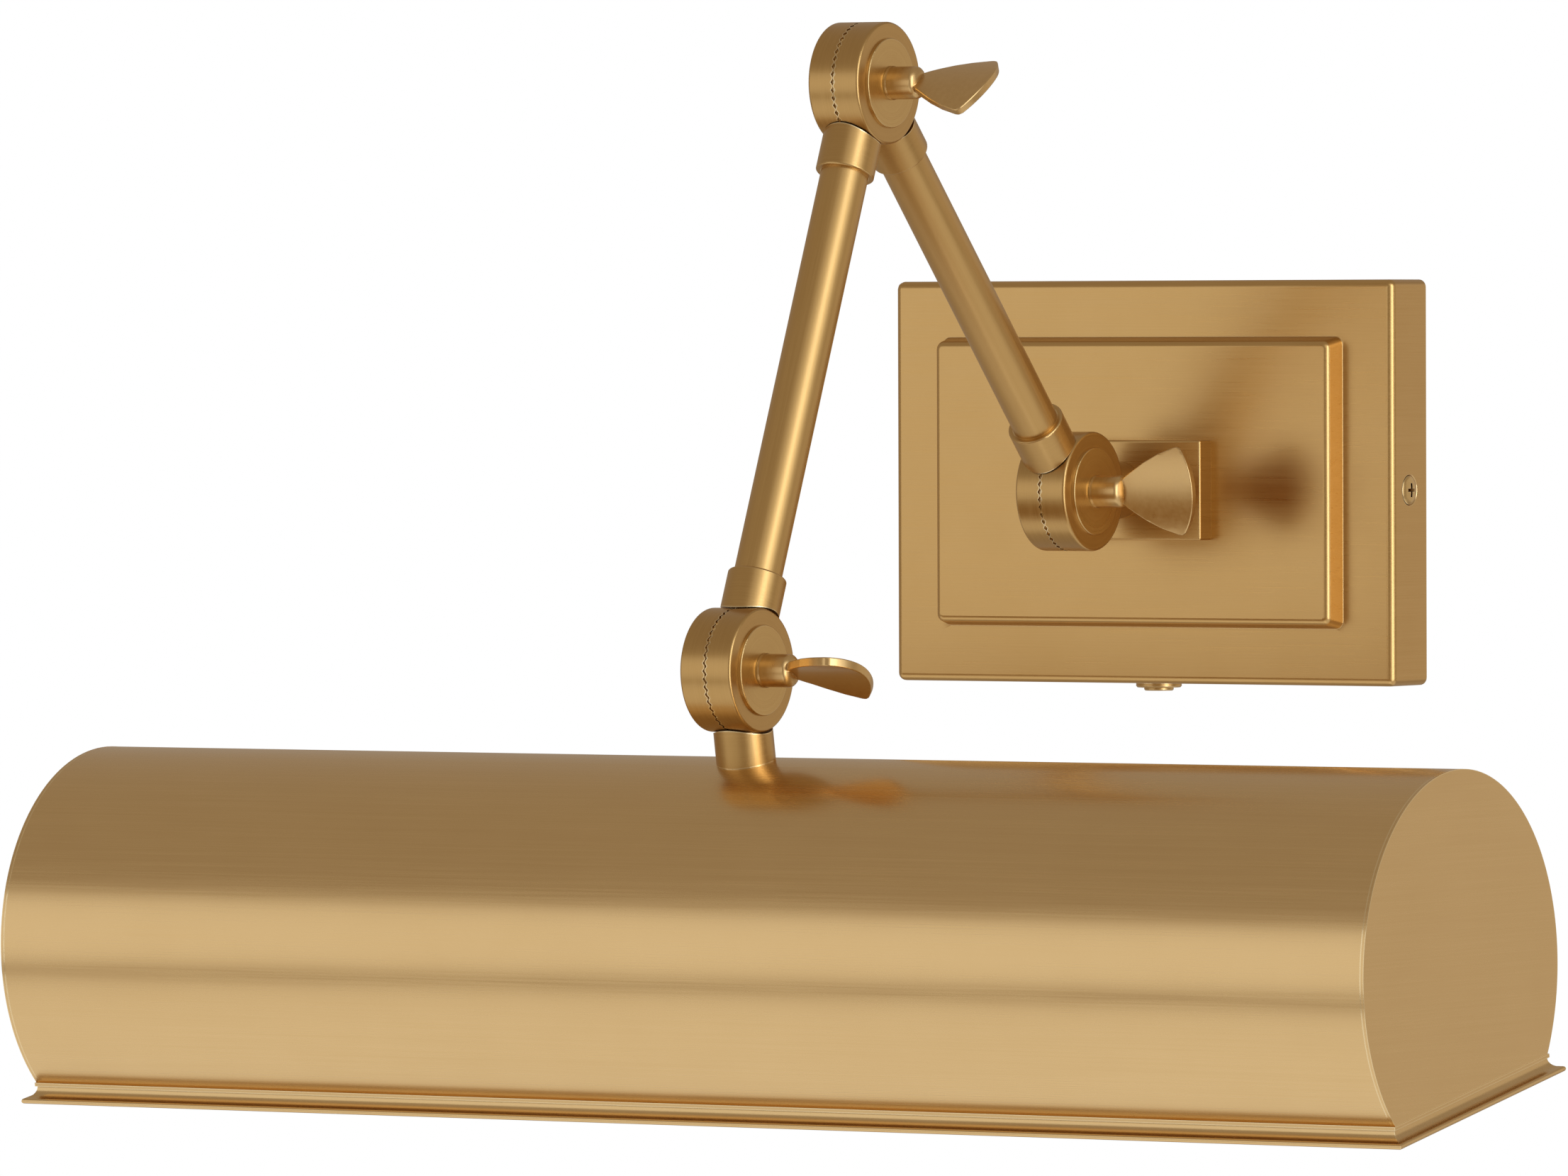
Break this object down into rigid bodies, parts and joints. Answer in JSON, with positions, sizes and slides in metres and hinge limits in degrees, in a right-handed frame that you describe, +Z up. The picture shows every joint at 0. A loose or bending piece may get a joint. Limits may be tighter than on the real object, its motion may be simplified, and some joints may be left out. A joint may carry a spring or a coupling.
{
  "type": "picture light",
  "caption": "Wall-mounted picture light: box-shaped wall cover, jointed arm with toothed clamp joints and thumb screws, long half-round shade open at the bottom.",
  "frame": {"origin": "centre of the two wall box mounting slots, on the wall plane behind the crossbar", "axes": "+X to the right seen from the room and along the shade, +Y into the wall, so the lamp stands out along -Y, +Z up"},
  "size_m": [0.4364, 0.2774, 0.298],
  "materials": {
    "brushed_brass_cover": "satin, brushed along the width",
    "brushed_brass_shade": "satin, brushed along the length",
    "turned_brass": "satin, turned",
    "drawn_brass_tube": "satin, brushed along the tube",
    "polished_brass_wing": "satin, hand polished",
    "bright_brass_nut": "machined",
    "zinc_steel": "zinc plated",
    "green_screw": "green dyed",
    "switch_plastic": "matte black",
    "wire_jacket": "off-white jacket",
    "lampholder_porcelain": "glazed",
    "lamp_cap": "stamped",
    "lamp_glass": "frosted"
  },
  "bodies": {
    "wall_base": {"wall_cover": "brushed_brass_cover", "boss_pad": "brushed_brass_cover", "crossbar": "zinc_steel", "cover_screws": "turned_brass", "ground_screw": "green_screw", "switch_case": "switch_plastic", "switch_ring": "turned_brass", "wall_joint_half": "turned_brass", "wall_sleeve": "turned_brass", "wall_washer": "zinc_steel", "wall_lock_nut": "bright_brass_nut", "wall_clamp_nut": "bright_brass_nut", "wall_back_disc": "turned_brass"},
    "switch_button": {"switch_button": "turned_brass"},
    "wall_thumb_screw": {"wall_thumb_screw": "polished_brass_wing"},
    "rear_arm": {"rear_lower_half": "turned_brass", "rear_upper_half": "turned_brass", "rear_sleeves": "turned_brass", "rear_tube": "drawn_brass_tube", "rear_wires": "wire_jacket", "wall_face_disc": "turned_brass", "mid_face_disc": "turned_brass"},
    "front_arm": {"front_upper_half": "turned_brass", "front_lower_half": "turned_brass", "front_sleeves": "turned_brass", "front_tube": "drawn_brass_tube", "front_wires": "wire_jacket", "mid_clamp_nut": "bright_brass_nut", "mid_back_disc": "turned_brass", "shade_clamp_nut": "bright_brass_nut", "shade_back_disc": "turned_brass"},
    "mid_thumb_screw": {"mid_thumb_screw": "polished_brass_wing"},
    "shade_thumb_screw": {"shade_thumb_screw": "polished_brass_wing"},
    "shade": {"shade_joint_half": "turned_brass", "shade_face_disc": "turned_brass", "shade_sleeve": "turned_brass", "saddle_washer": "zinc_steel", "shade_lock_nut": "bright_brass_nut", "shade_shell": "brushed_brass_shade", "left_end_cap": "brushed_brass_shade", "right_end_cap": "brushed_brass_shade", "lip_frame": "brushed_brass_shade", "lamp_bracket": "zinc_steel", "lampholders": "lampholder_porcelain", "lampholder_screws": "zinc_steel", "lamp_bases": "lamp_cap", "lamp_glass": "lamp_glass"}
  },
  "joints": [
    {"name": "wall_joint", "type": "hinge", "parent": "wall_base", "child": "rear_arm", "pos_m": [0, -0.0598, 0], "axis": [1, 0, 0], "range_deg": [-59, 50]},
    {"name": "middle_joint", "type": "hinge", "parent": "rear_arm", "child": "front_arm", "pos_m": [0, -0.1707, 0.11324], "axis": [-1, 0, 0], "range_deg": [-8, 140]},
    {"name": "shade_joint", "type": "hinge", "parent": "front_arm", "child": "shade", "pos_m": [0, -0.23798, -0.04603], "axis": [1, 0, 0], "range_deg": [-100, 85]},
    {"name": "wall_thumb_turn", "type": "hinge", "parent": "wall_base", "child": "wall_thumb_screw", "pos_m": [0, -0.0598, 0], "axis": [1, 0, 0], "range_deg": [0, 360]},
    {"name": "middle_thumb_turn", "type": "hinge", "parent": "front_arm", "child": "mid_thumb_screw", "pos_m": [0, -0.1707, 0.11324], "axis": [1, 0, 0], "range_deg": [0, 360]},
    {"name": "shade_thumb_turn", "type": "hinge", "parent": "front_arm", "child": "shade_thumb_screw", "pos_m": [0, -0.23798, -0.04603], "axis": [1, 0, 0], "range_deg": [0, 360]},
    {"name": "switch_press", "type": "slide", "parent": "wall_base", "child": "switch_button", "axis": [0, 0, 1], "range_m": [0, 0.0008], "stiffness_N_per_m": 400, "springref_m": -0.002}
  ]
}
